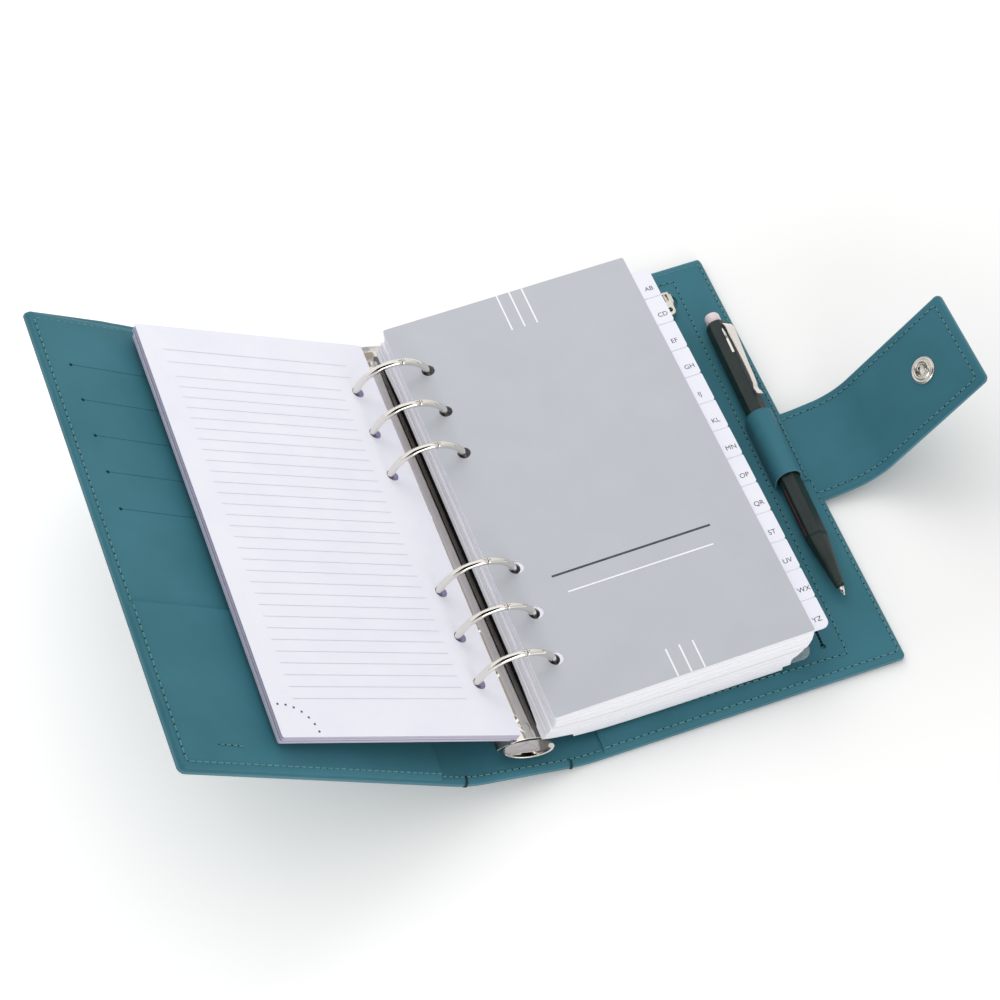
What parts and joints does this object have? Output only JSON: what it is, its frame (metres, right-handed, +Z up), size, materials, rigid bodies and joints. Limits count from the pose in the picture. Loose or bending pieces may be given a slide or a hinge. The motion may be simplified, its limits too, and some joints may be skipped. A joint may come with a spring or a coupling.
{
  "type": "personal organizer",
  "caption": "Open leather ring-binder organizer with hinged covers, opening rings, loose pages, a pen in its loop, a zipped pocket and a snap strap.",
  "frame": {"origin": "middle of the flat underside of the back cover, on the table", "axes": "+Z up from the table, +X across the back cover towards its fore edge and strap, +Y along the spine towards the heads of the pages"},
  "size_m": [0.3113, 0.1836, 0.0871],
  "materials": {
    "teal_leather": "smooth-grained teal leather",
    "teal_lining": "matt teal lining",
    "board": "stiff grey board",
    "zip_tape": "woven tape",
    "nickel": "polished nickel plate",
    "paper": "matt white paper",
    "grey_card": "satin grey sheet",
    "clear_plastic": "clear film",
    "pen_black": "satin dark green-black",
    "pen_white": "satin off-white"
  },
  "bodies": {
    "back_cover": {"back_leather": "teal_leather", "back_board": "board", "back_lining": "teal_lining", "back_zip_panel": "teal_leather", "zip_tape": "zip_tape", "pen_loop": "teal_leather"},
    "zip_slider": {"zip_slider": "nickel"},
    "zip_pull": {"zip_pull": "nickel"},
    "spine": {"spine_leather": "teal_leather", "spine_board": "board", "spine_lining": "teal_lining", "ring_housing": "nickel", "housing_rivet_top": "nickel", "housing_rivet_bottom": "nickel"},
    "front_cover": {"front_leather": "teal_leather", "front_board": "board", "front_lining": "teal_lining", "front_card_panel": "teal_leather", "front_low_pocket": "teal_leather", "snap_stud": "nickel"},
    "left_rings": {"left_rail": "nickel", "left_ring_1": "nickel", "left_ring_2": "nickel", "left_ring_3": "nickel", "left_ring_4": "nickel", "left_ring_5": "nickel", "left_ring_6": "nickel"},
    "right_rings": {"right_rail": "nickel", "right_ring_1": "nickel", "right_ring_2": "nickel", "right_ring_3": "nickel", "right_ring_4": "nickel", "right_ring_5": "nickel", "right_ring_6": "nickel"},
    "lever_top": {"lever_top": "nickel"},
    "lever_bottom": {"lever_bottom": "nickel"},
    "left_pages": {"memo_sheet": "paper", "memo_pad": "paper", "filler_pad": "paper"},
    "right_pages": {"notes_block": "paper", "diary_block": "paper", "plastic_wallet": "clear_plastic", "index_cards": "paper", "divider_card": "grey_card"},
    "strap_root": {"strap_root": "teal_leather"},
    "strap_mid": {"strap_mid": "teal_leather"},
    "strap_tip": {"strap_tip": "teal_leather", "snap_socket": "nickel", "snap_cap": "nickel"},
    "pen": {"pen_barrel": "pen_black", "pen_nose": "pen_black", "pen_tip": "nickel", "pen_clip": "nickel"},
    "pen_button": {"pen_button": "pen_white"}
  },
  "joints": [
    {"name": "back_hinge", "type": "hinge", "parent": "back_cover", "child": "spine", "pos_m": [-0.06015, 0, 0.00055], "axis": [0, 1, 0], "range_deg": [0, 63.5]},
    {"name": "front_hinge", "type": "hinge", "parent": "spine", "child": "front_cover", "pos_m": [-0.1009, 0, 0.01262], "axis": [0, 1, 0], "range_deg": [0, 78.4]},
    {"name": "right_pages_turn", "type": "hinge", "parent": "spine", "child": "right_pages", "pos_m": [-0.07354, 0.001, 0.02172], "axis": [0, 1, 0], "range_deg": [-64.5, 1]},
    {"name": "left_pages_turn", "type": "hinge", "parent": "spine", "child": "left_pages", "pos_m": [-0.07354, 0.001, 0.02172], "axis": [0, 1, 0], "range_deg": [-1, 85.03]},
    {"name": "ring_open", "type": "hinge", "parent": "spine", "child": "left_rings", "pos_m": [-0.0826, 0.001, 0.01174], "axis": [0, 1, 0], "range_deg": [-6, 0]},
    {"name": "ring_open_right", "type": "hinge", "parent": "spine", "child": "right_rings", "pos_m": [-0.07138, 0.001, 0.00841], "axis": [0, 1, 0], "range_deg": [-1, 7]},
    {"name": "lever_top_turn", "type": "hinge", "parent": "spine", "child": "lever_top", "pos_m": [-0.07676, 0.08485, 0.01084], "axis": [0.9588, 0, -0.284], "range_deg": [-21, 1]},
    {"name": "lever_bottom_turn", "type": "hinge", "parent": "spine", "child": "lever_bottom", "pos_m": [-0.07676, -0.08285, 0.01084], "axis": [0.9588, 0, -0.284], "range_deg": [-1, 21]},
    {"name": "strap_fold", "type": "hinge", "parent": "back_cover", "child": "strap_root", "pos_m": [0.06165, -0.0034, 0.00232], "axis": [0, -1, 0], "range_deg": [-8, 74]},
    {"name": "strap_bend", "type": "hinge", "parent": "strap_root", "child": "strap_mid", "pos_m": [0.07987, -0.0034, 0.00554], "axis": [0, 1, 0], "range_deg": [-25, 40]},
    {"name": "strap_tip_fold", "type": "hinge", "parent": "strap_mid", "child": "strap_tip", "pos_m": [0.09755, -0.0034, 0.0266], "axis": [0, -1, 0], "range_deg": [-10, 70]},
    {"name": "pen_slide", "type": "slide", "parent": "back_cover", "child": "pen", "axis": [0.0262, 0.9997, 0], "range_m": [0, 0.085]},
    {"name": "pen_press", "type": "slide", "parent": "pen", "child": "pen_button", "axis": [-0.0262, -0.9997, 0], "range_m": [0, 0.004], "stiffness_N_per_m": 400, "springref_m": -0.002},
    {"name": "zip_slide", "type": "slide", "parent": "back_cover", "child": "zip_slider", "axis": [-0.0332, -0.9995, 0], "range_m": [0, 0.146]},
    {"name": "zip_pull_swing", "type": "hinge", "parent": "zip_slider", "child": "zip_pull", "pos_m": [0.03926, 0.0804, 0.0062], "axis": [0.9995, -0.0332, 0], "range_deg": [-150, 0]}
  ],
  "couplings": [
    {"joint": "right_pages_turn", "follows": "back_hinge", "ratio": -1},
    {"joint": "left_pages_turn", "follows": "front_hinge", "ratio": 1.0718},
    {"joint": "ring_open_right", "follows": "ring_open", "ratio": -1},
    {"joint": "lever_top_turn", "follows": "ring_open", "ratio": 3.3333},
    {"joint": "lever_bottom_turn", "follows": "ring_open", "ratio": -3.3333}
  ]
}
